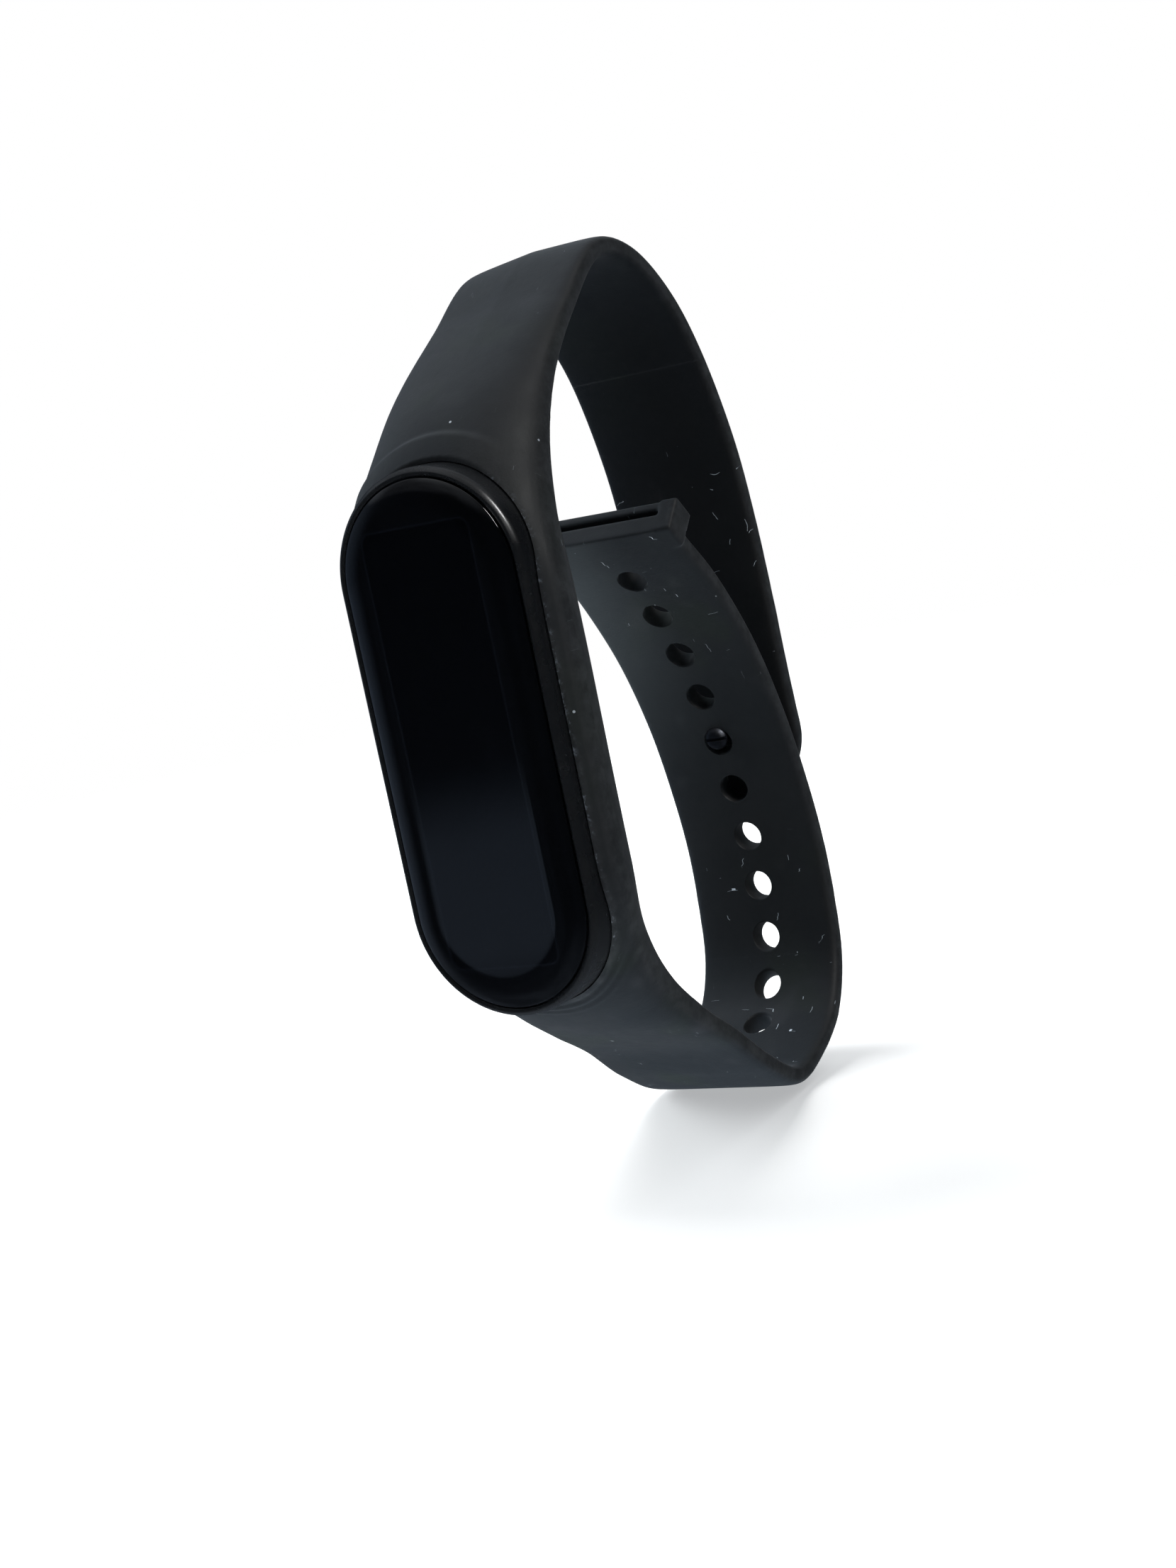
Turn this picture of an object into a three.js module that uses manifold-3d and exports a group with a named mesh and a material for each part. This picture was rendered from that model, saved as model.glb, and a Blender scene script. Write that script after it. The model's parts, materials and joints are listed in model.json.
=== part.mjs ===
// Fitness tracker: a pill-shaped capsule in a one-piece rubber wristband that closes with a stud.
// Millimetres. +X runs across the band, +Y from the screen towards the wrist, +Z up along the capsule.
// Inside the assembly group, y = 0 is the plane where capsule and wristband meet in front and z = 0
// is the capsule's middle. The group is shifted so that the origin is the middle of the wrist opening.

import * as THREE from 'three';
import { mergeVertices } from 'three/addons/utils/BufferGeometryUtils.js';
import Module from 'manifold-3d';

const wasm = await Module();
wasm.setup();

// ---------- driving dimensions ----------

const WRIST_CENTRE = 25;            // depth of the wrist opening's middle behind the capsule's front plane
const CLEARANCE = 0.3;              // gap between pieces that are cut to fit each other

const PILL_STRAIGHT = 14;           // half of the capsule's straight length, between its end arcs
const SEAM_RADIUS = 9.45;           // end radius of the opening in the wristband
const CAPSULE_RADIUS = 9.12;        // end radius of the capsule at its widest
const GLASS_FRONT = -2.2;           // depth of the glass's front face
const CAPSULE_BACK = 9.5;           // depth of the rear housing's back face
const SENSOR_BACK = 10.2;           // depth of the raised sensor window's back face

const BAND_THICKNESS = 2;
const HOLE_RADIUS = 1.6;
const HOLE_PITCH = 5.25;
const FIRST_HOLE = 6.4;             // from the strap's free end to the middle of its first hole
const HOLES_BEHIND_FLEX = 8;        // holes in the moving length of the hole strap
const HOLES_BEFORE_FLEX = 3;        // holes left in the fixed length, past its flex line
const FLEX_FROM_HOLE = 1.95;        // from the last moving hole to the flex line

const KEEPER_HALF_WIDTH = 7.8;      // the loop at the hole strap's free end
const KEEPER_SIDE = 1.6;            // thickness of its two sides
const KEEPER_BAR = 1.2;             // thickness of its outer bar
const KEEPER_DEPTH = 3.7;           // from the strap's inner face to the bar's outer face
const KEEPER_HEIGHT = 3.2;          // its length along the strap

const BATTERY_HALF_WIDTH = 5.4;
const BATTERY_LOW = -9.2;
const BATTERY_HIGH = 10.6;
const BATTERY_ROUND = 1.2;          // radius of the battery's corners

const ANTENNA_Z = 13.8;             // middle of the antenna's arc
const SHAFT_RADIUS = 0.4;
const SHAFT_PLAY = 0.06;
const MOTOR_Z = 16.2;               // middle of the vibration motor, above the capsule's middle
const CONTACT_Z = -16;              // height of the two charging contacts
const CONTACT_X = 2.6;

// ---------- materials ----------

const material = (color, roughness, metalness = 0, extra = {}) =>
  new THREE.MeshStandardMaterial({ color, roughness, metalness, ...extra });

const rubber = () => material(0x1b1e21, 0.75);
const blackPlastic = () => material(0x101113, 0.45);
const greyPlastic = () => material(0x3a3d40, 0.6);
const circuitBoard = () => material(0x14402a, 0.5);
const chipBlack = () => material(0x151515, 0.4);
const steel = () => material(0xb8babd, 0.35, 1);
const gold = () => material(0xd8ab50, 0.3, 1);
const foam = () => material(0x2a2a2c, 0.95);

// ---------- solids ----------

const X_AXIS = new THREE.Vector3(1, 0, 0);
const Y_AXIS = new THREE.Vector3(0, 1, 0);

function toSolid(geometry) {
  const bare = geometry.index ? geometry.clone() : mergeVertices(geometry);
  bare.deleteAttribute('normal');
  bare.deleteAttribute('uv');
  const merged = mergeVertices(bare, 1e-5);
  const vertProperties = new Float32Array(merged.attributes.position.array);
  const corners = Array.from(merged.index.array);
  const kept = [];
  for (let i = 0; i < corners.length; i += 3) {
    const [a, b, c] = corners.slice(i, i + 3);
    const flattened = a === b || b === c || c === a;
    if (!flattened) kept.push(a, b, c);
  }
  return new wasm.Manifold(new wasm.Mesh({ numProp: 3, vertProperties, triVerts: new Uint32Array(kept) }));
}

function toMesh(name, solid, surface) {
  const { vertProperties, triVerts } = solid.getMesh();
  const geometry = new THREE.BufferGeometry();
  geometry.setAttribute('position', new THREE.BufferAttribute(vertProperties, 3));
  geometry.setIndex(new THREE.BufferAttribute(triVerts, 1));
  geometry.computeVertexNormals();
  const mesh = new THREE.Mesh(geometry, surface);
  mesh.name = name;
  return mesh;
}

const points = (pairs) => pairs.map(([r, y]) => new THREE.Vector2(r, y));

// A solid of revolution about Y, pulled apart along Z by `straight` each way into a pill.
// The outline runs out from the front, back along the outside, and in again.
function pill(pairs, straight = PILL_STRAIGHT, segments = 32) {
  const geometry = new THREE.LatheGeometry(points(pairs), segments, Math.PI / segments);
  const position = geometry.attributes.position;
  for (let i = 0; i < position.count; i += 1) {
    const column = Math.floor(i / pairs.length) % segments;
    const angle = Math.PI / segments + (column / segments) * 2 * Math.PI;
    position.setZ(i, position.getZ(i) + straight * Math.sign(Math.cos(angle)));
  }
  return toSolid(geometry);
}

const plate = (radius, front, back, straight, segments) =>
  pill([[0, front], [radius, front], [radius, back], [0, back]], straight, segments);

const ring = (inner, outer, front, back, straight, segments) =>
  pill([[inner, front], [outer, front], [outer, back], [inner, back], [inner, front]], straight, segments);

function box(width, front, back, low, high, x = 0) {
  const geometry = new THREE.BoxGeometry(width, back - front, high - low);
  geometry.translate(x, (front + back) / 2, (low + high) / 2);
  return toSolid(geometry);
}

// A round rod through `centre`, along `direction`, reaching from `start` to `end` of it.
function rod(radius, centre, direction, start, end, segments = 20) {
  const geometry = new THREE.CylinderGeometry(radius, radius, end - start, segments);
  geometry.translate(0, (start + end) / 2, 0);
  geometry.applyQuaternion(new THREE.Quaternion().setFromUnitVectors(Y_AXIS, direction));
  geometry.translate(centre.x, centre.y, centre.z);
  return toSolid(geometry);
}

// ---------- the wristband's shape ----------

// A station of the band: the side edge's place (y, z), half the width, how far the section reaches
// out of and into the loop from that edge, and how square each of those sides is (2 is an ellipse).
const station = (y, z, halfWidth, outer, inner, outerPower, innerPower) =>
  ({ y, z, halfWidth, outer, inner, outerPower, innerPower });

const FLAT = BAND_THICKNESS / 2;
const flat = (y, z, halfWidth) => station(y, z, halfWidth, FLAT, FLAT, 7, 7);
const besideCapsule = (z) => station(2.0, z, 10.6, 2.5, 7.0, 3.5, 2);

// From the flex line of the hole strap, round the bottom, up past the capsule and over the top.
const BAND_STATIONS = [
  flat(44.05, -25.95, 7.45),
  flat(43.2, -31.6, 7.5),
  flat(40.4, -36.0, 7.6),
  flat(35.6, -38.3, 7.9),
  flat(29.8, -39.3, 8.1),
  flat(24.2, -36.2, 8.25),
  station(19.1, -32.0, 8.25, 1.0, 1.0, 5, 7),
  station(14.2, -28.3, 8.25, 1.9, 1.1, 3, 5),
  station(9.6, -24.0, 8.4, 4.4, 1.6, 2.4, 3),
  station(5.2, -19.2, 9.3, 4.4, 4.0, 2.6, 2.2),
  station(2.4, -13.5, 10.5, 2.9, 6.6, 3.2, 2),
  besideCapsule(-6),
  besideCapsule(0),
  besideCapsule(6),
  station(2.2, 13.0, 10.5, 2.7, 6.6, 3.3, 2),
  station(4.2, 18.6, 9.5, 4.2, 4.2, 2.6, 2.2),
  station(7.5, 24.0, 8.5, 4.0, 1.8, 2.2, 3),
  station(11.7, 29.0, 7.7, 2.5, 1.1, 2.5, 5),
  station(17.4, 33.9, 7.15, 1.2, 1.0, 5, 7),
  flat(24.1, 38.3, 7.05),
  flat(30.2, 37.6, 7.05),
  flat(35.6, 33.4, 7.05),
  flat(39.4, 27.4, 7.05),
  flat(42.2, 19.4, 7.1),
];

// From its flex line down the back to the end of the tip's rounding.
const STUD_STATIONS = [
  flat(42.2, 19.4, 7.1),
  flat(43.4, 12.0, 7.1),
  flat(44.0, 4.5, 7.05),
  flat(44.35, -2.5, 7.0),
  flat(44.8, -9.0, 7.0),
  flat(45.7, -15.4, 7.0),
];

// From its flex line up inside the stud strap to the keeper loop.
const HOLE_STATIONS = [
  flat(44.05, -25.95, 7.45),
  flat(44.1, -20.0, 7.4),
  flat(43.1, -13.6, 7.35),
  flat(41.2, -6.6, 7.3),
  flat(38.0, 0.6, 7.3),
  flat(33.5, 7.1, 7.3),
  flat(29.3, 11.45, 7.3),
  flat(26.81, 13.94, 7.3),
];

class Band {
  constructor(stations) {
    const curve = (pick) => new THREE.CatmullRomCurve3(stations.map(pick), false, 'catmullrom', 0.5);
    this.edge = curve((s) => new THREE.Vector3(0, s.y, s.z));
    this.size = curve((s) => new THREE.Vector3(s.halfWidth, s.outer, s.inner));
    this.power = curve((s) => new THREE.Vector3(s.outerPower, s.innerPower, 0));
    this.edge.arcLengthDivisions = 400;
    this.length = this.edge.getLength();
  }

  // Outward direction of the section at t, in the YZ plane, for a band that runs up in front.
  outward(t) {
    const along = this.edge.getTangent(t);
    return new THREE.Vector3(0, -along.z, along.y);
  }

  // The curve parameter at a distance along the band.
  at(distance) {
    return this.edge.getUtoTmapping(distance / this.length);
  }

  place(distance) {
    return this.edge.getPoint(this.at(distance));
  }
}

const TINY = 1e-6;
const signedPower = (value, power) =>
  (Math.abs(value) < TINY ? 0 : Math.sign(value) * Math.abs(value) ** power);

// The closed solid of a band between two distances, as a cylinder bent along it.
// `narrow` can shorten the half width at a distance, to round off an end.
function sweep(band, steps, sides, side = 1, narrow = () => 1) {
  const geometry = new THREE.CylinderGeometry(1, 1, 1, sides, steps);
  const position = geometry.attributes.position;
  for (let i = 0; i < position.count; i += 1) {
    const x = position.getX(i);
    const z = position.getZ(i);
    const angle = Math.atan2(z, x);
    const reach = Math.hypot(x, z) < 0.5 ? 0 : 1;
    const t = band.at((position.getY(i) + 0.5) * band.length);
    const size = band.size.getPoint(t);
    const power = band.power.getPoint(t);
    const across = reach * size.x * narrow((position.getY(i) + 0.5) * band.length);
    const [up, square] = Math.sin(angle) > 0 ? [size.y, 2 / power.x] : [size.z, 2 / power.y];
    const middle = band.edge.getPoint(t);
    const out = band.outward(t).multiplyScalar(side * reach * up * signedPower(Math.sin(angle), square));
    const sideways = side * across * signedPower(Math.cos(angle), square);
    position.setXYZ(i, sideways, middle.y + out.y, middle.z + out.z);
  }
  return toSolid(geometry);
}

const mainBand = new Band(BAND_STATIONS);
const studBand = new Band(STUD_STATIONS);
const holeBand = new Band(HOLE_STATIONS);

const flexBar = (centre, radius, halfWidth) => rod(radius, centre, X_AXIS, -halfWidth, halfWidth, 24);

// Round holes through a band, `distances` along it.
function punch(solid, band, distances) {
  return distances.reduce((left, distance) => {
    const t = band.at(distance);
    const drill = rod(HOLE_RADIUS, band.edge.getPoint(t), band.outward(t), -2 * FLAT, 2 * FLAT);
    return left.subtract(drill);
  }, solid);
}

function wristband() {
  const opening = pill([
    [0, -8], [SEAM_RADIUS, -8], [SEAM_RADIUS, 4.2], [9.2, 6.4], [8.6, 8.2], [8.6, 14], [0, 14],
  ]);
  const lowFlex = BAND_STATIONS[0];
  const highFlex = BAND_STATIONS[BAND_STATIONS.length - 1];
  const socket = (end) => flexBar(new THREE.Vector3(0, end.y, end.z), FLAT + CLEARANCE, 10);
  const firstHole = HOLE_PITCH - FLEX_FROM_HOLE;
  const holes = Array.from({ length: HOLES_BEFORE_FLEX }, (_, i) => firstHole + i * HOLE_PITCH);
  const loop = sweep(mainBand, 72, 22).subtract(opening);
  const body = loop.subtract(socket(lowFlex)).subtract(socket(highFlex));
  return toMesh('wristband', punch(body, mainBand, holes), rubber());
}

// ---------- wristband pieces ----------

const TIP_RADIUS = 7;
const STUD_FROM_END = 7.4;
const STUD_CAP_RADIUS = 5;
const STUD_BORE_RADIUS = 1.3;

// The stud stands on the strap's middle line, where it meets the closed hole of the other strap.
const studT = studBand.at(studBand.length - STUD_FROM_END);
const studSeat = { centre: studBand.edge.getPoint(studT), outward: studBand.outward(studT) };

const studRod = (radius, start, end, segments) =>
  rod(radius, studSeat.centre, studSeat.outward, start, end, segments);

function studStrap() {
  const tipStart = studBand.length - TIP_RADIUS;
  const intoTip = (distance) => Math.max(0, distance - tipStart) / TIP_RADIUS;
  const roundTip = (distance) => Math.sqrt(Math.max(0.01, 1 - intoTip(distance) ** 2));
  const knuckle = flexBar(studBand.place(0), FLAT, 6.6);
  const body = sweep(studBand, 28, 16, 1, roundTip).add(knuckle);
  const bore = studRod(STUD_BORE_RADIUS, -4, 4);
  const recess = studRod(STUD_CAP_RADIUS + CLEARANCE, 0.2, 4, 32);
  return toMesh('stud_strap', body.subtract(bore).subtract(recess), rubber());
}

const studCap = () => toMesh('stud_cap', studRod(STUD_CAP_RADIUS, 0.5, 1.35, 32), blackPlastic());

function studPin() {
  const shank = studRod(0.9, -4.2, 0.45);
  const tip = studRod(1.1, -4.6, -4.0);
  return toMesh('stud_pin', shank.add(tip), steel());
}

// The loop that holds a loose strap end: a flat ring across the hole strap's free end.
function keeperLoop() {
  const end = holeBand.place(holeBand.length);
  const inward = holeBand.outward(1);
  const along = new THREE.Vector3(0, inward.z, -inward.y);
  const block = (halfWidth, start, stop, low, high) => {
    const geometry = new THREE.BoxGeometry(2 * halfWidth, stop - start, high - low);
    geometry.translate(0, (start + stop) / 2, (low + high) / 2);
    const frame = new THREE.Matrix4().makeBasis(X_AXIS, inward.clone().negate(), along);
    frame.setPosition(end);
    geometry.applyMatrix4(frame);
    return toSolid(geometry);
  };
  const shell = block(KEEPER_HALF_WIDTH, -FLAT, KEEPER_DEPTH - FLAT, -KEEPER_HEIGHT, 0);
  const tunnel = block(KEEPER_HALF_WIDTH - KEEPER_SIDE, FLAT, KEEPER_DEPTH - KEEPER_BAR - FLAT, -9, 9);
  return { shell, tunnel };
}

function holeStrap() {
  const firstDistance = holeBand.length - FIRST_HOLE;
  const holes = Array.from({ length: HOLES_BEHIND_FLEX }, (_, i) => firstDistance - i * HOLE_PITCH);
  const knuckle = flexBar(holeBand.place(0), FLAT, 6.9);
  const { shell, tunnel } = keeperLoop();
  const body = sweep(holeBand, 30, 16, -1).add(knuckle).add(shell).subtract(tunnel);
  return toMesh('hole_strap', punch(body, holeBand, holes), rubber());
}

// ---------- capsule: screen and shell ----------

function coverGlass() {
  const outline = [
    [0, GLASS_FRONT], [5.6, GLASS_FRONT], [6.9, -2.08], [7.8, -1.8], [8.25, -1.45], [8.25, -1.2], [0, -1.2],
  ];
  const tintedGlass = material(0x050506, 0.05, 0, { transparent: true, opacity: 0.6 });
  return toMesh('cover_glass', pill(outline), tintedGlass);
}

const glassAdhesive = () => toMesh('glass_adhesive', ring(6.95, 8.05, -1.12, -0.95), blackPlastic());
const displayPanel = () => toMesh('display_panel', plate(6.4, -1.12, -0.4, 13.2), material(0x060608, 0.15));
const displayFoam = () => toMesh('display_foam', plate(5.8, -0.3, 0.05, 8), foam());

// A flat cable, 5 wide, folded back on itself between the display and the main board.
function displayFlex() {
  const outline = new THREE.Shape();
  outline.moveTo(-15.5, -0.3);
  outline.lineTo(-18.6, -0.3);
  outline.absarc(-18.6, 0.6, 0.9, 1.5 * Math.PI, 0.5 * Math.PI, true);
  outline.lineTo(-16.0, 1.5);
  outline.lineTo(-16.0, 1.35);
  outline.lineTo(-18.6, 1.35);
  outline.absarc(-18.6, 0.6, 0.75, 0.5 * Math.PI, 1.5 * Math.PI, false);
  outline.lineTo(-15.5, -0.15);
  const geometry = new THREE.ExtrudeGeometry(outline, { depth: 5, bevelEnabled: false, curveSegments: 8 });
  geometry.translate(0, 0, -2.5);
  geometry.rotateY(-Math.PI / 2);
  return toMesh('display_flex', toSolid(geometry), material(0x7a4a1e, 0.5));
}

function frontHousing() {
  const outline = [
    [8.45, -1.3], [8.75, -1.35], [9.02, -1.05], [CAPSULE_RADIUS, -0.5], [CAPSULE_RADIUS, 3.6], [8.4, 3.6],
    [8.4, 4.8], [7.9, 4.8], [7.9, 0.25], [6.75, 0.25], [6.75, -0.85], [8.45, -0.85], [8.45, -1.3],
  ];
  return toMesh('front_housing', pill(outline), blackPlastic());
}

const housingSeal = () => toMesh('housing_seal', ring(8.5, 8.95, 3.68, 3.95), foam());

const contactSpots = [['left', -CONTACT_X], ['right', CONTACT_X]];

function rearHousing() {
  const outline = [
    [0, 8.5], [6.9, 8.5], [7.9, 7.4], [8.0, 4.95], [8.5, 4.95], [8.5, 4.05], [9.1, 4.05], [8.85, 6.2],
    [8.2, 8.0], [7.2, 9.1], [6.2, CAPSULE_BACK], [0, CAPSULE_BACK],
  ];
  const window = rod(5.3, new THREE.Vector3(), Y_AXIS, 8, 11, 32);
  const shell = contactSpots.reduce((left, [, x]) => {
    const socket = rod(1.3, new THREE.Vector3(x, 0, CONTACT_Z), Y_AXIS, 8, 11);
    return left.subtract(socket);
  }, pill(outline).subtract(window));
  return toMesh('rear_housing', shell, blackPlastic());
}

// ---------- capsule: insides ----------

function innerFrame() {
  const outline = [
    [0, 2.5], [6.7, 2.5], [6.7, 0.4], [7.6, 0.4], [7.6, 6.6], [6.7, 6.6], [6.7, 2.9], [0, 2.9],
  ];
  return toMesh('inner_frame', pill(outline), greyPlastic());
}

const mainBoard = () => toMesh('main_board', plate(6.3, 1.65, 2.4, 13.6), circuitBoard());
const processorChip = () => toMesh('processor_chip', box(5, 0.95, 1.6, -2.5, 2.5, -1.2), chipBlack());
const memoryChip = () => toMesh('memory_chip', box(3, 1.0, 1.6, 3.6, 6.4, -1.2), chipBlack());
const motionSensor = () => toMesh('motion_sensor_chip', box(2, 0.9, 1.6, -7.6, -5.6, 2.4), chipBlack());
const chargerChip = () => toMesh('charger_chip', box(2.4, 0.95, 1.6, -11.6, -9.2, -1.5), chipBlack());

// A sheet-metal lid over the processor and memory, open towards the board.
function shieldCan() {
  const shell = box(7.4, 0.45, 1.6, -3.4, 7.3, -1.2);
  const inside = box(6.8, 0.65, 2.0, -3.1, 7.0, -1.2);
  return toMesh('shield_can', shell.subtract(inside), steel());
}

// A shape drawn across (x) and up (z), given its depth from front to back.
function slab(shape, front, back, curveSegments = 6) {
  const depth = back - front;
  const geometry = new THREE.ExtrudeGeometry(shape, { depth, bevelEnabled: false, curveSegments });
  geometry.rotateX(Math.PI / 2);
  geometry.translate(0, back, 0);
  return toSolid(geometry);
}

// A stamped loop antenna round the top end of the board.
function antenna() {
  const shape = new THREE.Shape();
  shape.absarc(0, ANTENNA_Z, 5.9, 0, Math.PI, false);
  shape.absarc(0, ANTENNA_Z, 4.9, Math.PI, 0, true);
  return toMesh('antenna', slab(shape, 1.2, 1.5, 12), gold());
}

function battery() {
  const shape = new THREE.Shape();
  const corners = [
    [BATTERY_HALF_WIDTH, BATTERY_LOW, -0.5],
    [BATTERY_HALF_WIDTH, BATTERY_HIGH, 0],
    [-BATTERY_HALF_WIDTH, BATTERY_HIGH, 0.5],
    [-BATTERY_HALF_WIDTH, BATTERY_LOW, 1],
  ];
  corners.forEach(([x, z, turn]) => {
    const middle = [x - Math.sign(x) * BATTERY_ROUND, z + (z === BATTERY_LOW ? 1 : -1) * BATTERY_ROUND];
    shape.absarc(...middle, BATTERY_ROUND, turn * Math.PI, (turn + 0.5) * Math.PI, false);
  });
  return toMesh('battery', slab(shape, 3.25, 7.0, 4), steel());
}

const batteryPad = () => toMesh('battery_pad', box(9, 2.98, 3.18, -8, 9.5), foam());
const protectionBoard = () => toMesh('protection_board', box(8, 4.2, 5.8, -11.4, -9.5), circuitBoard());
const contactBoard = () => toMesh('contact_board', box(8.4, 6.2, 6.9, -18.6, -13.2), circuitBoard());

const motorCentre = new THREE.Vector3(0, 0, MOTOR_Z);
const motorDisc = (radius, front, back, segments) =>
  rod(radius, motorCentre, Y_AXIS, front, back, segments);

const motorBase = () => toMesh('motor_base', motorDisc(4, 3.05, 3.35, 24), circuitBoard());

function motorCan() {
  const cup = motorDisc(4, 3.45, 6.3, 24).subtract(motorDisc(3.8, 3, 6.1, 24));
  return toMesh('motor_can', cup, steel());
}

const motorShaft = () => toMesh('motor_shaft', motorDisc(SHAFT_RADIUS, 3.45, 6.0, 16), steel());

// A half-round weight on a hub, hanging below the shaft.
function motorRotor() {
  const shape = new THREE.Shape();
  shape.absarc(0, MOTOR_Z, 3.5, Math.PI, 2 * Math.PI, false);
  shape.lineTo(1.1, MOTOR_Z);
  shape.absarc(0, MOTOR_Z, 1.1, 0, Math.PI, false);
  shape.lineTo(-3.5, MOTOR_Z);
  const bore = motorDisc(SHAFT_RADIUS + SHAFT_PLAY, 3, 7, 24);
  return toMesh('motor_rotor', slab(shape, 3.9, 5.7, 12).subtract(bore), steel());
}

// ---------- capsule: heart-rate sensor and charging contacts ----------

function sensorWindow() {
  const outline = [
    [0, 9.4], [4.3, 9.4], [4.3, 8.05], [5.9, 8.05], [5.9, 8.4], [5.1, 8.4], [5.1, 9.8], [4.6, SENSOR_BACK],
    [0, SENSOR_BACK],
  ];
  const window = pill(outline, 0);
  return toMesh('sensor_window', window, material(0x08080a, 0.12));
}

const sensorDisc = (radius, front, back) => rod(radius, new THREE.Vector3(), Y_AXIS, front, back, 24);
const sensorBoard = () => toMesh('sensor_board', sensorDisc(5.4, 7.25, 7.9), circuitBoard());

// Eyes of the sensor: two green lights above and below, two light detectors at the sides.
const EYES = [
  { name: 'led_upper', x: 0, z: 2.4, width: 1.2, height: 1.2, surface: () => material(0x2f8f55, 0.3) },
  { name: 'led_lower', x: 0, z: -2.4, width: 1.2, height: 1.2, surface: () => material(0x2f8f55, 0.3) },
  { name: 'photodiode_left', x: -2.2, z: 0, width: 1.5, height: 2.0, surface: chipBlack },
  { name: 'photodiode_right', x: 2.2, z: 0, width: 1.5, height: 2.0, surface: chipBlack },
];

const eye = ({ name, x, z, width, height, surface }) =>
  toMesh(name, box(width, 8.0, 8.7, z - height / 2, z + height / 2, x), surface());

// A foam disc that keeps light from going straight from the lights to the detectors.
function lightBaffle() {
  const wells = EYES.map(({ x, z, width, height }) =>
    box(width + 0.4, 7, 10, z - height / 2 - 0.2, z + height / 2 + 0.2, x));
  const disc = wells.reduce((left, well) => left.subtract(well), sensorDisc(4.1, 8.0, 9.2));
  return toMesh('light_baffle', disc, foam());
}

function chargeContact([side, x]) {
  const outline = [[0, 7.0], [0.7, 7.0], [0.7, 8.3], [1.1, 8.3], [1.1, 9.75], [0, 9.75]];
  const pin = new THREE.LatheGeometry(points(outline), 20);
  pin.translate(x, 0, CONTACT_Z);
  return toMesh(`charge_contact_${side}`, toSolid(pin), gold());
}

// ---------- assembly ----------

const assembly = new THREE.Group();
assembly.position.y = -WRIST_CENTRE;
assembly.add(wristband(), studStrap(), studCap(), studPin(), holeStrap());
assembly.add(coverGlass(), glassAdhesive(), displayPanel(), displayFoam(), displayFlex());
assembly.add(frontHousing(), housingSeal(), rearHousing(), innerFrame());
assembly.add(mainBoard(), processorChip(), memoryChip(), motionSensor(), chargerChip());
assembly.add(shieldCan(), antenna());
assembly.add(battery(), batteryPad(), protectionBoard(), contactBoard());
assembly.add(motorBase(), motorCan(), motorShaft(), motorRotor());
assembly.add(sensorWindow(), sensorBoard(), lightBaffle());
assembly.add(...EYES.map(eye), ...contactSpots.map(chargeContact));

const object = new THREE.Group();
object.add(assembly);

export default object;
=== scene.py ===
# Looks of a fitness tracker: a pill-shaped capsule in a rubber wristband with a stud clasp.
# Shapes are written in millimetres in the band's own frame, where y = 0 is the plane in which the
# capsule and the wristband meet in front, and are turned into the frame's metres when a mesh is made.

import json
import math
import bmesh
import bpy
import numpy as np
from mathutils import Matrix, Vector


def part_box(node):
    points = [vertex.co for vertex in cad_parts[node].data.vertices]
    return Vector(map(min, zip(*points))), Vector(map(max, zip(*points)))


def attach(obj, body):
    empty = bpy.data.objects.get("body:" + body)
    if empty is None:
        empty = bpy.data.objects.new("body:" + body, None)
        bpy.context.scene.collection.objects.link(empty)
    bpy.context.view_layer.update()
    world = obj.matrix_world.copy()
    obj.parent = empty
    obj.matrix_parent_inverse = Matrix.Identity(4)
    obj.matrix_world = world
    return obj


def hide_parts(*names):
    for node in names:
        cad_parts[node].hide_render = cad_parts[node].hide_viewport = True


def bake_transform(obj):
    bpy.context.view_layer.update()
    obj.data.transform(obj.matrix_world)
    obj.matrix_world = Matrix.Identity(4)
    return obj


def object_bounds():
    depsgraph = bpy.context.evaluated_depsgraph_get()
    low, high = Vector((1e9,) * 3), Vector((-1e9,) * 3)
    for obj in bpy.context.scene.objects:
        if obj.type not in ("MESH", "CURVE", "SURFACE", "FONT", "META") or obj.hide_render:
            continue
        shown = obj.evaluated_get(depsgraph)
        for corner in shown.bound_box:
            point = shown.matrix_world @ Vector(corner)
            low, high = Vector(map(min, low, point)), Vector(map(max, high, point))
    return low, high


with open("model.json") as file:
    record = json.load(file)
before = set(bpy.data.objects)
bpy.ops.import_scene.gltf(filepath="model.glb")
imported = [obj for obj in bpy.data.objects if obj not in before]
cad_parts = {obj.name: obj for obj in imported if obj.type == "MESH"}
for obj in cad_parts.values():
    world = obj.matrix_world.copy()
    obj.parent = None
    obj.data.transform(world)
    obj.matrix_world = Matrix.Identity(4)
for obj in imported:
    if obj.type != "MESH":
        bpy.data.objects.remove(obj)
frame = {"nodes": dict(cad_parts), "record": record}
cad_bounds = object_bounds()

MM = 0.001
GLASS_FRONT = -2.2
SEAM_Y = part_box("cover_glass")[0].y - GLASS_FRONT * MM

# ---------- camera ----------


def make_camera():
    """The viewing position and direction, with the long side of the picture as the sensor's."""
    data = bpy.data.cameras.new("camera")
    data.sensor_fit = "AUTO"
    data.sensor_width = 36
    data.lens = 54.07
    data.clip_start = 0.01
    camera = bpy.data.objects.new("camera", data)
    right = Vector((0.84418, 0.49717, -0.20043))
    up = Vector((0.09500, 0.22923, 0.96873))
    back = right.cross(up)
    camera.matrix_world = Matrix((right, up, back)).transposed().to_4x4()
    camera.location = (0.109981, -0.183459, 0.023312)
    bpy.context.scene.collection.objects.link(camera)
    bpy.context.scene.camera = camera


make_camera()

# ---------- shader helpers ----------


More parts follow.
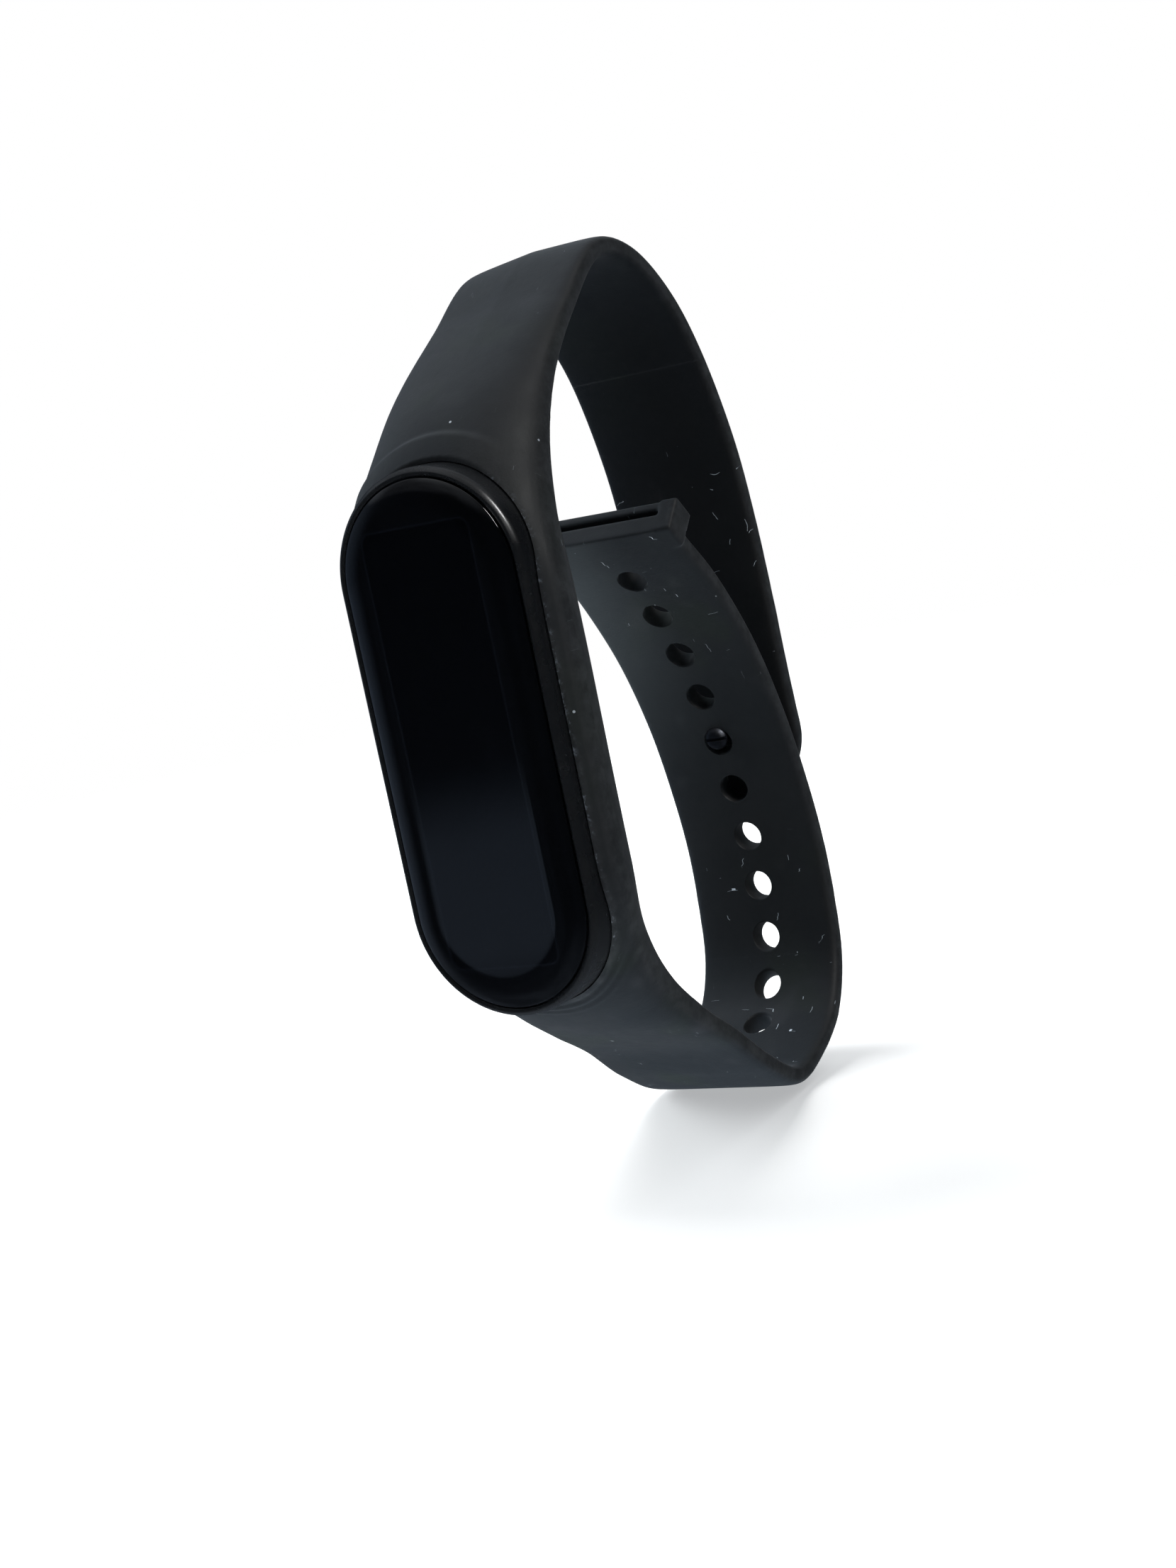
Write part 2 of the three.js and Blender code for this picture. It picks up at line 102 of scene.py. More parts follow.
class Nodes:
    """Shader nodes being added to one tree."""

    def __init__(self, tree):
        self.tree = tree

    def add(self, kind, **settings):
        node = self.tree.nodes.new(kind)
        for key, value in settings.items():
            setattr(node, key, value)
        return node

    def link(self, source, target):
        self.tree.links.new(source, target)

    def feed(self, node, key, value):
        if isinstance(value, bpy.types.NodeSocket):
            self.link(value, node.inputs[key])
        else:
            node.inputs[key].default_value = value

    def math(self, operation, a, b=0.0, c=0.0, clamp=False):
        node = self.add("ShaderNodeMath", operation=operation, use_clamp=clamp)
        for key, value in enumerate((a, b, c)):
            self.feed(node, key, value)
        return node.outputs[0]

    def steps(self, value, low, high, out_low=0.0, out_high=1.0):
        node = self.add("ShaderNodeMapRange", interpolation_type="SMOOTHSTEP")
        self.feed(node, "Value", value)
        numbers = (("From Min", low), ("From Max", high), ("To Min", out_low), ("To Max", out_high))
        for key, number in numbers:
            node.inputs[key].default_value = number
        return node.outputs[0]

    def separate(self, vector, index):
        node = self.add("ShaderNodeSeparateXYZ")
        self.link(vector, node.inputs[0])
        return node.outputs[index]


class Surface(Nodes):
    """A node material under construction, around one Principled shader."""

    def __init__(self, name, **inputs):
        self.material = bpy.data.materials.new(name)
        self.material.use_nodes = True
        super().__init__(self.material.node_tree)
        self.shader = self.tree.nodes["Principled BSDF"]
        for key, value in inputs.items():
            self.shader.inputs[key.replace("_", " ")].default_value = value
        self.place = self.add("ShaderNodeTexCoord").outputs["Object"]

    def noise(self, scale, detail=3.0, roughness=0.5, stretch=None):
        node = self.add("ShaderNodeTexNoise")
        node.inputs["Scale"].default_value = scale
        node.inputs["Detail"].default_value = detail
        node.inputs["Roughness"].default_value = roughness
        source = self.place
        if stretch:
            mapping = self.add("ShaderNodeMapping")
            mapping.inputs["Scale"].default_value = stretch
            self.link(source, mapping.inputs["Vector"])
            source = mapping.outputs[0]
        self.link(source, node.inputs["Vector"])
        return node.outputs["Fac"]

    def mix(self, factor, a, b):
        node = self.add("ShaderNodeMix", data_type="RGBA")
        self.feed(node, 0, factor)
        self.feed(node, 6, a)
        self.feed(node, 7, b)
        return node.outputs[2]

    def attribute(self, name):
        return self.add("ShaderNodeAttribute", attribute_type="GEOMETRY", attribute_name=name)

    def color(self, value):
        self.feed(self.shader, "Base Color", value)
        return self

    def rough(self, value):
        self.feed(self.shader, "Roughness", value)
        return self

    def bump(self, height, distance):
        node = self.add("ShaderNodeBump")
        node.inputs["Distance"].default_value = distance
        node.inputs["Strength"].default_value = 1.0
        self.link(height, node.inputs["Height"])
        self.link(node.outputs[0], self.shader.inputs["Normal"])
        return self


def grey(value, tint=0.0):
    """A near-neutral colour, cooler with tint."""
    return (value * (1 - tint), value, value * (1 + tint), 1)


def moulded(name, color, roughness, grain=2500, depth=0.02, spread=0.15, **inputs):
    """Moulded plastic: fine grain, slightly uneven colour and gloss."""
    surface = Surface(name, **inputs)
    uneven = surface.noise(180, 4)
    darker = tuple(c * (1 - spread) for c in color[:3]) + (1,)
    lighter = tuple(c * (1 + spread) for c in color[:3]) + (1,)
    surface.color(surface.mix(uneven, darker, lighter))
    surface.rough(surface.steps(surface.noise(600, 3), 0.3, 0.7, roughness * 0.85, roughness * 1.15))
    surface.bump(surface.noise(grain, 3), depth * MM)
    return surface.material


def rubber():
    """Matte black rubber: fine grain, greenish and bluish clouding, dust, lint and rubbed edges.

    Inside, past the crest, it is darkened as painted shade, and the -X side of the hole strap's free end
    is made paler as painted light.
    """
    surface = Surface("band_rubber", Specular_IOR_Level=0.40, Sheen_Weight=0.05, Sheen_Roughness=0.4)
    surface.shader.inputs["Sheen Tint"].default_value = (0.85, 0.93, 1.0, 1)
    band = surface.attribute("band_place").outputs["Vector"]
    wear = surface.attribute("wear").outputs["Fac"]
    seam = surface.attribute("seam").outputs["Fac"]
    inside = surface.attribute("inside").outputs["Fac"]

    clouds = surface.noise(70, 3)
    color = surface.mix(clouds, (0.0058, 0.0088, 0.0122, 1), (0.0108, 0.0130, 0.0155, 1))
    green = surface.steps(surface.noise(110, 2), 0.5, 0.7, 0, 0.55)
    color = surface.mix(green, color, (0.0095, 0.0145, 0.0122, 1))

    distance, across = surface.separate(band, 0), surface.separate(band, 1)
    # Painted shade: the inside of the band is darkened past the crest.
    painted_shade_past_crest = surface.math("MULTIPLY", inside, surface.steps(distance, 150, 172, 0, 0.72))
    color = surface.mix(painted_shade_past_crest, color, (0.0010, 0.0022, 0.0040, 1))
    # Painted light: the inside of the hole strap's free end is made paler on its -X side.
    painted_light_side_mask = surface.math("MULTIPLY", inside, surface.steps(across, -7, 3, 0.55, 0))
    painted_light_free_end = surface.math("MULTIPLY", painted_light_side_mask, surface.steps(distance, 8, 34, 1, 0))
    color = surface.mix(painted_light_free_end, color, (0.034, 0.044, 0.050, 1))

    film = surface.math("MULTIPLY", wear, surface.steps(surface.noise(900, 4, 0.7), 0.3, 0.75), clamp=True)
    color = surface.mix(surface.math("MULTIPLY", film, 0.5), color, (0.045, 0.050, 0.056, 1))
    smudge = surface.steps(surface.noise(190, 2), 0.62, 0.78, 0, 0.22)
    color = surface.mix(smudge, color, (0.030, 0.033, 0.040, 1))

    specks = surface.add("ShaderNodeTexVoronoi", voronoi_dimensions="3D", feature="F1")
    specks.inputs["Scale"].default_value = 620
    surface.link(surface.place, specks.inputs["Vector"])
    size = surface.math("POWER", surface.math("FRACT", surface.math(
        "MULTIPLY", surface.separate(specks.outputs["Color"], 0), 7.31)), 14)
    dot = surface.math("LESS_THAN", specks.outputs["Distance"], surface.math("MULTIPLY", size, 0.075))
    dusty = surface.steps(surface.noise(55, 2), 0.45, 0.62, 0.15, 1)
    color = surface.mix(surface.math("MULTIPLY", dot, dusty), color, (0.42, 0.47, 0.52, 1))

    fibres = lint(surface, band, cells=0.42, length=0.25, width=0.0085)
    few = surface.steps(surface.noise(48, 2), 0.46, 0.56)
    more_inside = surface.math("ADD", surface.math("MULTIPLY", inside, 0.85), 0.15)
    shown = surface.math("MULTIPLY", surface.math("MULTIPLY", fibres, few), more_inside)
    color = surface.mix(shown, color, (0.40, 0.46, 0.52, 1))

    caught = surface.math("MULTIPLY", seam, surface.steps(surface.noise(2200, 3, 0.7), 0.52, 0.66))
    color = surface.mix(surface.math("MULTIPLY", caught, 0.8), color, (0.12, 0.14, 0.17, 1))

    surface.color(color)
    surface.rough(surface.steps(surface.noise(300, 4), 0.3, 0.7, 0.58, 0.66))
    fine = surface.noise(4200, 2)
    coarse = surface.noise(850, 3)
    height = surface.math("MULTIPLY_ADD", coarse, 1.6, fine)
    surface.bump(height, 0.011 * MM)
    return surface.material


def lint(surface, place, cells, length, width):
    """Short bent fibres in some cells of a scattered grid, where place is in millimetres."""
    voronoi = surface.add("ShaderNodeTexVoronoi", voronoi_dimensions="3D", feature="F1")
    voronoi.inputs["Scale"].default_value = cells
    surface.link(place, voronoi.inputs["Vector"])
    scaled = surface.add("ShaderNodeVectorMath", operation="SCALE")
    scaled.inputs["Scale"].default_value = cells
    surface.link(place, scaled.inputs[0])
    local = surface.add("ShaderNodeVectorMath", operation="SUBTRACT")
    surface.link(scaled.outputs[0], local.inputs[0])
    centre = surface.add("ShaderNodeVectorMath", operation="SCALE")
    centre.inputs["Scale"].default_value = cells
    surface.link(voronoi.outputs["Position"], centre.inputs[0])
    surface.link(centre.outputs[0], local.inputs[1])
    draws = [surface.separate(voronoi.outputs["Color"], k) for k in range(3)]
    turn = surface.math("MULTIPLY", draws[0], 2 * math.pi)
    rotate = surface.add("ShaderNodeVectorRotate", rotation_type="Z_AXIS")
    surface.link(local.outputs[0], rotate.inputs["Vector"])
    surface.link(turn, rotate.inputs["Angle"])
    along = surface.separate(rotate.outputs[0], 0)
    across = surface.separate(rotate.outputs[0], 1)
    bend = surface.math("MULTIPLY", surface.math("SUBTRACT", draws[1], 0.5), 3.0)
    bow = surface.math("MULTIPLY", bend, surface.math("POWER", along, 2.0))
    bowed = surface.math("SUBTRACT", across, bow)
    chance = surface.math("FRACT", surface.math("MULTIPLY", draws[2], 11.7))
    present = surface.math("LESS_THAN", chance, 0.45)
    reach = surface.math("MULTIPLY", draws[2], length)
    in_length = surface.math("LESS_THAN", surface.math("ABSOLUTE", along), reach)
    in_width = surface.math("LESS_THAN", surface.math("ABSOLUTE", bowed), width)
    return surface.math("MULTIPLY", surface.math("MULTIPLY", in_length, in_width), present)


def cover_glass():
    """Black-backed glass. The printed border is a shade lighter than the switched-off display."""
    surface = Surface("cover_glass", Specular_IOR_Level=0.5)
    x = surface.math("ABSOLUTE", surface.separate(surface.place, 0))
    z = surface.math("ABSOLUTE", surface.separate(surface.place, 2))
    past_x = surface.math("MAXIMUM", surface.math("SUBTRACT", x, 0.0043), 0.0)
    past_z = surface.math("MAXIMUM", surface.math("SUBTRACT", z, 0.0175), 0.0)
    square = surface.math("ADD", surface.math("POWER", past_x, 2.0), surface.math("POWER", past_z, 2.0))
    distance = surface.math("SQRT", square)
    border = surface.steps(distance, 0.00090, 0.00105)
    line = surface.math("MULTIPLY", border, surface.steps(distance, 0.00105, 0.0012, 1, 0))
    color = surface.mix(border, (0.0006, 0.0007, 0.0011, 1), (0.0011, 0.0013, 0.0018, 1))
    color = surface.mix(line, color, (0.0024, 0.003, 0.0045, 1))
    scratch = lint(surface, scaled_place(surface, 1000), cells=0.05, length=0.35, width=0.0012)
    color = surface.mix(surface.math("MULTIPLY", scratch, 0.25), color, (0.02, 0.022, 0.028, 1))
    surface.color(color)
    grease = surface.steps(surface.noise(140, 4), 0.4, 0.75, 0.028, 0.075)
    surface.rough(grease)
    surface.bump(surface.noise(60, 1), 0.004 * MM)
    return surface.material


def scaled_place(surface, factor):
    node = surface.add("ShaderNodeVectorMath", operation="SCALE")
    node.inputs["Scale"].default_value = factor
    surface.link(surface.place, node.inputs[0])
    return node.outputs[0]


def housing():
    """Satin black plastic with a little dust."""
    surface = Surface("housing_plastic", Specular_IOR_Level=0.5)
    clouds = surface.noise(160, 4)
    color = surface.mix(clouds, (0.0045, 0.0052, 0.0062, 1), (0.0085, 0.0095, 0.011, 1))
    dust = surface.steps(surface.noise(2600, 3, 0.75), 0.66, 0.74, 0, 0.5)
    color = surface.mix(dust, color, (0.035, 0.038, 0.043, 1))
    surface.color(color)
    surface.rough(surface.steps(surface.noise(420, 4), 0.35, 0.7, 0.22, 0.34))
    surface.bump(surface.noise(5200, 2), 0.004 * MM)
    return surface.material


def metal(name, color, roughness, stretch=(1, 30, 30), scale=90):
    """Drawn or turned metal with fine marks in one direction."""
    surface = Surface(name, Metallic=1.0)
    marks = surface.noise(scale, 4, 0.7, stretch=stretch)
    darker = tuple(c * 0.8 for c in color[:3]) + (1,)
    surface.color(surface.mix(marks, darker, color))
    surface.rough(surface.steps(marks, 0.3, 0.7, roughness * 0.75, roughness * 1.3))
    surface.bump(marks, 0.004 * MM)
    return surface.material


def circuit_board():
    """Green solder mask over faint copper tracks, with small tinned pads."""
    surface = Surface("circuit_board", Coat_Weight=0.4)
    tracks = surface.add("ShaderNodeTexBrick", offset=0.5)
    tracks.inputs["Scale"].default_value = 900
    tracks.inputs["Mortar Size"].default_value = 0.03
    surface.link(surface.place, tracks.inputs["Vector"])
    color = surface.mix(tracks.outputs["Fac"], (0.008, 0.085, 0.038, 1), (0.02, 0.15, 0.06, 1))
    pads = surface.add("ShaderNodeTexVoronoi")
    pads.inputs["Scale"].default_value = 700
    surface.link(surface.place, pads.inputs["Vector"])
    pad = surface.math("LESS_THAN", pads.outputs["Distance"], 0.12)
    surface.color(surface.mix(pad, color, (0.55, 0.52, 0.45, 1)))
    surface.rough(surface.steps(surface.noise(500), 0.3, 0.7, 0.25, 0.4))
    surface.bump(tracks.outputs["Fac"], 0.01 * MM)
    return surface.material


def display():
    """A switched-off display: black with the faintest grid of pixels."""
    surface = Surface("display_panel", Coat_Weight=0.5)
    grid = surface.add("ShaderNodeTexChecker")
    grid.inputs["Scale"].default_value = 9000
    surface.link(surface.place, grid.inputs["Vector"])
    surface.color(surface.mix(grid.outputs["Fac"], (0.001, 0.001, 0.0015, 1), (0.002, 0.002, 0.003, 1)))
    surface.rough(surface.steps(surface.noise(90), 0.3, 0.7, 0.12, 0.2))
    return surface.material


def foam():
    """Black closed-cell foam with small open pores in its cut faces."""
    surface = Surface("black_foam", Specular_IOR_Level=0.2)
    pores = surface.add("ShaderNodeTexVoronoi")
    pores.inputs["Scale"].default_value = 4500
    surface.link(surface.place, pores.inputs["Vector"])
    hollow = surface.steps(pores.outputs["Distance"], 0.1, 0.6)
    # Painted shade: the pores are darker in their hollows.
    surface.color(surface.mix(hollow, (0.006, 0.006, 0.007, 1), (0.035, 0.035, 0.037, 1)))
    surface.rough(surface.steps(surface.noise(700), 0.3, 0.7, 0.8, 0.95))
    surface.bump(hollow, 0.05 * MM)
    return surface.material


MATERIALS = {
    "band_rubber": rubber(),
    "stud_plastic": moulded("stud_plastic", grey(0.016, 0.08), 0.38, grain=3600, depth=0.012),
    "stud_metal": metal("stud_metal", (0.10, 0.105, 0.12, 1), 0.42),
    "cover_glass": cover_glass(),
    "display_panel": display(),
    "housing_plastic": housing(),
    "seal_rubber": moulded("seal_rubber", grey(0.04), 0.8, grain=1800, depth=0.03),
    "frame_plastic": moulded("frame_plastic", grey(0.10), 0.6),
    "circuit_board": circuit_board(),
    "chip_plastic": moulded("chip_plastic", grey(0.02), 0.5, grain=6000, depth=0.01),
    "sheet_steel": metal("sheet_steel", (0.6, 0.6, 0.62, 1), 0.3),
    "battery_foil": metal("battery_foil", (0.62, 0.62, 0.63, 1), 0.4, stretch=(1, 1, 6), scale=300),
    "black_foam": foam(),
    "flex_cable": moulded("flex_cable", (0.40, 0.17, 0.04, 1), 0.35, grain=1500, depth=0.005),
    "gold_contact": metal("gold_contact", (0.86, 0.62, 0.27, 1), 0.22),
    "sensor_window": moulded("sensor_window", grey(0.006, 0.1), 0.08, grain=300, depth=0.002),
    "led_lens": moulded("led_lens", (0.10, 0.46, 0.24, 1), 0.2, grain=900, depth=0.003),
}

for part in frame["record"]["subparts"]:
    node = frame["nodes"][part["node"]]
    node.data.materials.clear()
    node.data.materials.append(MATERIALS[part["material_slot"]])

# ---------- mesh helpers ----------


def to_frame(points):
    """Millimetres in the band's frame to the row's metres."""
    return np.asarray(points, float) * MM + np.array([0, SEAM_Y, 0])


def new_object(name, points, faces):
    mesh = bpy.data.meshes.new(name)
    mesh.from_pydata(to_frame(points).tolist(), [], faces)
    mesh.update()
    made = bpy.data.objects.new(name, mesh)
    bpy.context.scene.collection.objects.link(made)
    return made


def tube_faces(rings, sides):
    """Quads between closed rings, and a face over each end."""
    faces = []
    for r in range(rings - 1):
        for s in range(sides):
            t = (s + 1) % sides
            faces.append((r * sides + s, r * sides + t, (r + 1) * sides + t, (r + 1) * sides + s))
    faces.append(tuple(range(sides - 1, -1, -1)))
    faces.append(tuple(range((rings - 1) * sides, rings * sides)))
    return faces


def from_rings(name, rings):
    rings = np.asarray(rings, float)
    return new_object(name, rings.reshape(-1, 3), tube_faces(rings.shape[0], rings.shape[1]))


def outline_points(corners, steps=5):
    """An outline through (r, y) corners. One with a third number is rounded, at most by that radius."""
    made = [np.array(corners[0], float)]
    for before, corner, after in zip(corners, corners[1:], corners[2:]):
        a, b, c = (np.array(p[:2], float) for p in (before, corner, after))
        size = corner[2] if len(corner) > 2 else 0
        into, out = np.linalg.norm(b - a), np.linalg.norm(c - b)
        cut = min(size, into / 2, out / 2)
        if cut < 1e-3:
            made.append(b)
            continue
        p, q = b + (a - b) * cut / into, b + (c - b) * cut / out
        for k in range(steps + 1):
            t = k / steps
            made.append((1 - t) ** 2 * p + 2 * t * (1 - t) * b + t**2 * q)
    made.append(np.array(corners[-1][:2], float))
    return [tuple(p[:2]) for p in made]


PILL_STRAIGHT = 14                  # half the straight length of every pill-shaped piece


def pill(name, outline, segments=96, along=14):
    """A solid of revolution about Y, pulled apart along Z, from an outline of (radius, y)."""
    half = segments // 2
    angles = []
    for side, first in ((1, 0), (-1, math.pi)):
        end = side * PILL_STRAIGHT
        angles += [(math.pi * k / half + first, end) for k in range(half + 1)]
        edge = angles[-1][0]
        angles += [(edge, end * (1 - 2 * k / along)) for k in range(1, along)]
    rings = [[(r * math.cos(a), y, r * math.sin(a) + z) for a, z in angles] for r, y in outline]
    return from_rings(name, rings)


def cylinder(name, radii, centre, direction, sides=48):
    """A turned piece along a direction: radii is a list of (distance, radius)."""
    axis = np.array(direction, float) / np.linalg.norm(direction)
    side = np.array([1.0, 0, 0])
    other = np.cross(axis, side)
    turn = np.linspace(0, 2 * math.pi, sides, endpoint=False)
    rings = [
        np.array(centre) + axis * d + r * (np.outer(np.cos(turn), side) + np.outer(np.sin(turn), other))
        for d, r in radii
    ]
    return from_rings(name, rings)


def block(name, centre, axes, low, high):
    """A box whose axes are given, between two corners measured along them."""
    axes = np.array(axes, float)
    corners = [(x, y, z) for x in (low[0], high[0]) for y in (low[1], high[1]) for z in (low[2], high[2])]
    points = [np.array(centre) + np.array(c) @ axes for c in corners]
    faces = [(0, 1, 3, 2), (4, 6, 7, 5), (0, 4, 5, 1), (2, 3, 7, 6), (0, 2, 6, 4), (1, 5, 7, 3)]
    return new_object(name, points, faces)


def modified(made, kind, **settings):
    """Applies one modifier to an object's mesh."""
    modifier = made.modifiers.new(kind, kind)
    for key, value in settings.items():
        setattr(modifier, key, value)
    graph = bpy.context.evaluated_depsgraph_get()
    mesh = bpy.data.meshes.new_from_object(made.evaluated_get(graph))
    made.modifiers.clear()
    old = made.data
    made.data = mesh
    mesh.name = made.name
    bpy.data.meshes.remove(old)
    return made


def drop(made):
    bpy.data.objects.remove(made)


def combined(made, other, operation):
    fixed_normals(made)
    fixed_normals(other)
    modified(made, "BOOLEAN", object=other, operation=operation, solver="MANIFOLD")
    drop(other)
    return made


def fixed_normals(made):
    work = bmesh.new()
    work.from_mesh(made.data)
    bmesh.ops.recalc_face_normals(work, faces=work.faces)
    work.to_mesh(made.data)
    work.free()


# ---------- the wristband's path and sections ----------

FLAT = 1.0
STRAP_POWER = 7


def flat(y, z, half_width):
    return (y, z, half_width, FLAT, FLAT, STRAP_POWER, STRAP_POWER)


def beside_capsule(z):
    return (2.0, z, 10.6, 2.5, 7.0, 3.5, 2)


# (y, z, half width, reach out of the loop, reach into it, squareness of each side), from the
# keeper's end of the hole strap, down and round the bottom, up past the capsule and over the top,
# then down the back to the tip of the stud strap.
HOLE_STATIONS = [
    flat(26.81, 13.94, 7.15),
    flat(29.3, 11.45, 7.2),
    flat(33.5, 7.1, 7.3),
    flat(38.0, 0.6, 7.3),
    flat(41.2, -6.6, 7.3),
    flat(43.1, -13.6, 7.35),
    flat(44.1, -20.0, 7.4),
    flat(44.05, -25.95, 7.45),
]
LOOP_STATIONS = [
    flat(43.2, -31.6, 7.5),
    flat(40.4, -36.0, 7.6),
    flat(35.6, -38.3, 7.9),
    flat(29.8, -39.3, 8.1),
    flat(24.2, -36.2, 8.25),
    (19.1, -32.0, 8.2, 1.2, 1.0, 5, 7),
    (14.2, -28.3, 8.2, 2.1, 1.1, 3.4, 5),
    (9.6, -24.0, 8.35, 3.7, 1.6, 2.6, 3),
    (5.2, -19.2, 9.3, 4.4, 4.0, 2.6, 2.2),
    (2.4, -13.5, 10.5, 2.9, 6.6, 3.2, 2),
    beside_capsule(-6),
    beside_capsule(0),
    beside_capsule(6),
    (2.2, 13.0, 10.5, 2.7, 6.6, 3.3, 2),
    (4.2, 18.6, 9.5, 4.2, 4.2, 2.6, 2.2),
    (7.5, 24.0, 8.5, 4.0, 1.8, 2.2, 3),
    (11.7, 29.0, 7.75, 2.5, 1.1, 2.8, 5),
    (17.4, 33.9, 7.3, 1.4, 1.0, 4.2, 7),
    flat(24.1, 38.3, 7.05),
    flat(30.2, 37.6, 7.05),
    flat(35.6, 33.4, 7.05),
    flat(39.4, 27.4, 7.05),
    flat(42.2, 19.4, 7.1),
]
STUD_STATIONS = [
    flat(43.4, 12.0, 7.1),
    flat(44.0, 4.5, 7.05),
    flat(44.35, -2.5, 7.0),
    flat(44.8, -9.0, 7.0),
    flat(45.7, -15.4, 7.0),
]
STATIONS = HOLE_STATIONS + LOOP_STATIONS + STUD_STATIONS
CLASP_FLEX_STATION = len(HOLE_STATIONS) + len(LOOP_STATIONS) - 1
CREST_STATION = CLASP_FLEX_STATION - 3
CUT_HEIGHT = 27.4                   # where the stud strap's mesh takes over from the loop's
HOLE_CUT_HEIGHT = -31.0             # where the hole strap's mesh takes over


class Path:
    """A Catmull-Rom curve through the stations, measured by distance along it."""

    SAMPLES = 240

    def __init__(self, stations):
        table = np.array(stations, float)
        ends = (2 * table[0] - table[1], 2 * table[-1] - table[-2])
        p = np.vstack([ends[0], table, ends[1]])
        self.t = np.linspace(0, len(table) - 1, (len(table) - 1) * self.SAMPLES + 1)
        i = np.minimum(self.t.astype(int), len(table) - 2)
        f = (self.t - i)[:, None]
        a, b, c, d = p[i], p[i + 1], p[i + 2], p[i + 3]
        self.values = 0.5 * (
            2 * b + (c - a) * f + (2 * a - 5 * b + 4 * c - d) * f**2 + (3 * b - a - 3 * c + d) * f**3
        )
        steps = np.hypot(*np.diff(self.values[:, :2], axis=0).T)
        self.distances = np.concatenate([[0], np.cumsum(steps)])
        self.length = self.distances[-1]

    def station(self, index):
        return float(np.interp(index, self.t, self.distances))

    def at(self, distance):
        return np.array([np.interp(distance, self.distances, column) for column in self.values.T])

    def centre(self, distance):
        y, z = self.at(distance)[:2]
        return np.array([0, y, z])

    def along(self, distance):
        step = 0.05
        low, high = max(0, distance - step), min(self.length, distance + step)
        direction = self.centre(high) - self.centre(low)
        return direction / np.linalg.norm(direction)

    def outward(self, distance):
        _, y, z = self.along(distance)
        return np.array([0, -z, y])


PATH = Path(STATIONS)


def section(half_width, outer, inner, outer_power, inner_power, points=64):
    """Evenly spaced points round a section: superellipse halves outside and inside."""
    turn = np.linspace(0, math.pi, 721)
    cosine, sine = np.cos(turn), np.sin(turn)
    halves = []
    for reach, power, side in ((outer, outer_power, 1), (inner, inner_power, -1)):
        x = half_width * np.sign(cosine) * np.abs(cosine) ** (2 / power) * side
        n = side * reach * np.abs(sine) ** (2 / power)
        run = np.concatenate([[0], np.cumsum(np.hypot(np.diff(x), np.diff(n)))])
        where = np.linspace(0, run[-1], points // 2, endpoint=False)
        halves.append(np.stack([np.interp(where, run, x), np.interp(where, run, n)], 1))
    return np.vstack(halves)


def sweep(name, distances, narrow=None):
    """The band's closed solid through sections at the given distances along its path."""
    rings = []
    for distance in distances:
        half_width, *rest = PATH.at(distance)[2:]
        if narrow:
            half_width *= narrow(distance)
        flat_points = section(half_width, *rest)
        centre, out = PATH.centre(distance), PATH.outward(distance)
        rings.append([centre + np.array([x, 0, 0]) + n * out for x, n in flat_points])
    return from_rings(name, rings)


def spaced(start, stop, step=0.7):
    return np.linspace(start, stop, max(2, round((stop - start) / step) + 1))


HOLE_RADIUS = 1.4
HOLE_MOUTH = [(1.8, 2.1), (0.98, 1.46), (0.84, HOLE_RADIUS)]   # (height above the middle, radius)
HOLE_PROFILE = [(-height, radius) for height, radius in HOLE_MOUTH] + HOLE_MOUTH[::-1]
HOLE_PITCH = 5.25
FIRST_HOLE = 6.4
HOLES = 11
SEAM_RADIUS = 9.27                  # of the capsule's opening
TIP_RADIUS = 7
STUD_FROM_END = 7.4
STUD_RECESS = 5.3
VOXEL = 0.2


def softened(made):
    """Turns overlapping solids into one skin with slightly rounded moulded edges."""
    modified(made, "REMESH", mode="VOXEL", voxel_size=VOXEL * MM, use_smooth_shade=True)
    return modified(made, "SMOOTH", factor=0.5, iterations=5)


def joined(made, *others):
    bpy.ops.object.select_all(action="DESELECT")
    for piece in (made, *others):
        piece.select_set(True)
    bpy.context.view_layer.objects.active = made
    bpy.ops.object.join()
    return made


def keeper():
    """The loop at the strap's end: two side lugs and a thinner, slightly sunk bar between them."""
    end, out, back = PATH.centre(0), PATH.outward(0), PATH.along(0)
    axes = [(1, 0, 0), out, back]
    half, side, height = 7.45, 1.7, 2.8
    lug_low, lug_top, bar_low, bar_top = -0.95, 2.65, 1.6, 2.55
    overlap, sunk = 0.4, 0.1
    bar_half = half - overlap
    return [
        block("lug_right", end, axes, (half - side, lug_low, 0), (half, lug_top, height)),
        block("lug_left", end, axes, (-half, lug_low, 0), (side - half, lug_top, height)),
        block("bar", end, axes, (-bar_half, bar_low, sunk), (bar_half, bar_top, height - sunk)),
    ]


def opening():
    """The tunnel that the capsule sits in."""
    outline = [(SEAM_RADIUS, -8), (SEAM_RADIUS, 4.2), (9.2, 6.4), (8.6, 8.2), (8.6, 14)]
    return pill("opening", outline)


def loop_mesh():
    """The whole band except the stud strap, with its opening, holes and keeper."""
    stop = PATH.station(CLASP_FLEX_STATION)
    band = softened(joined(sweep("loop", spaced(0, stop)), *keeper()))
    combined(band, opening(), "DIFFERENCE")
    for k in range(HOLES):
        distance = FIRST_HOLE + k * HOLE_PITCH
        drill = cylinder("drill", HOLE_PROFILE, PATH.centre(distance), PATH.outward(distance), sides=64)
        combined(band, drill, "DIFFERENCE")
    return band


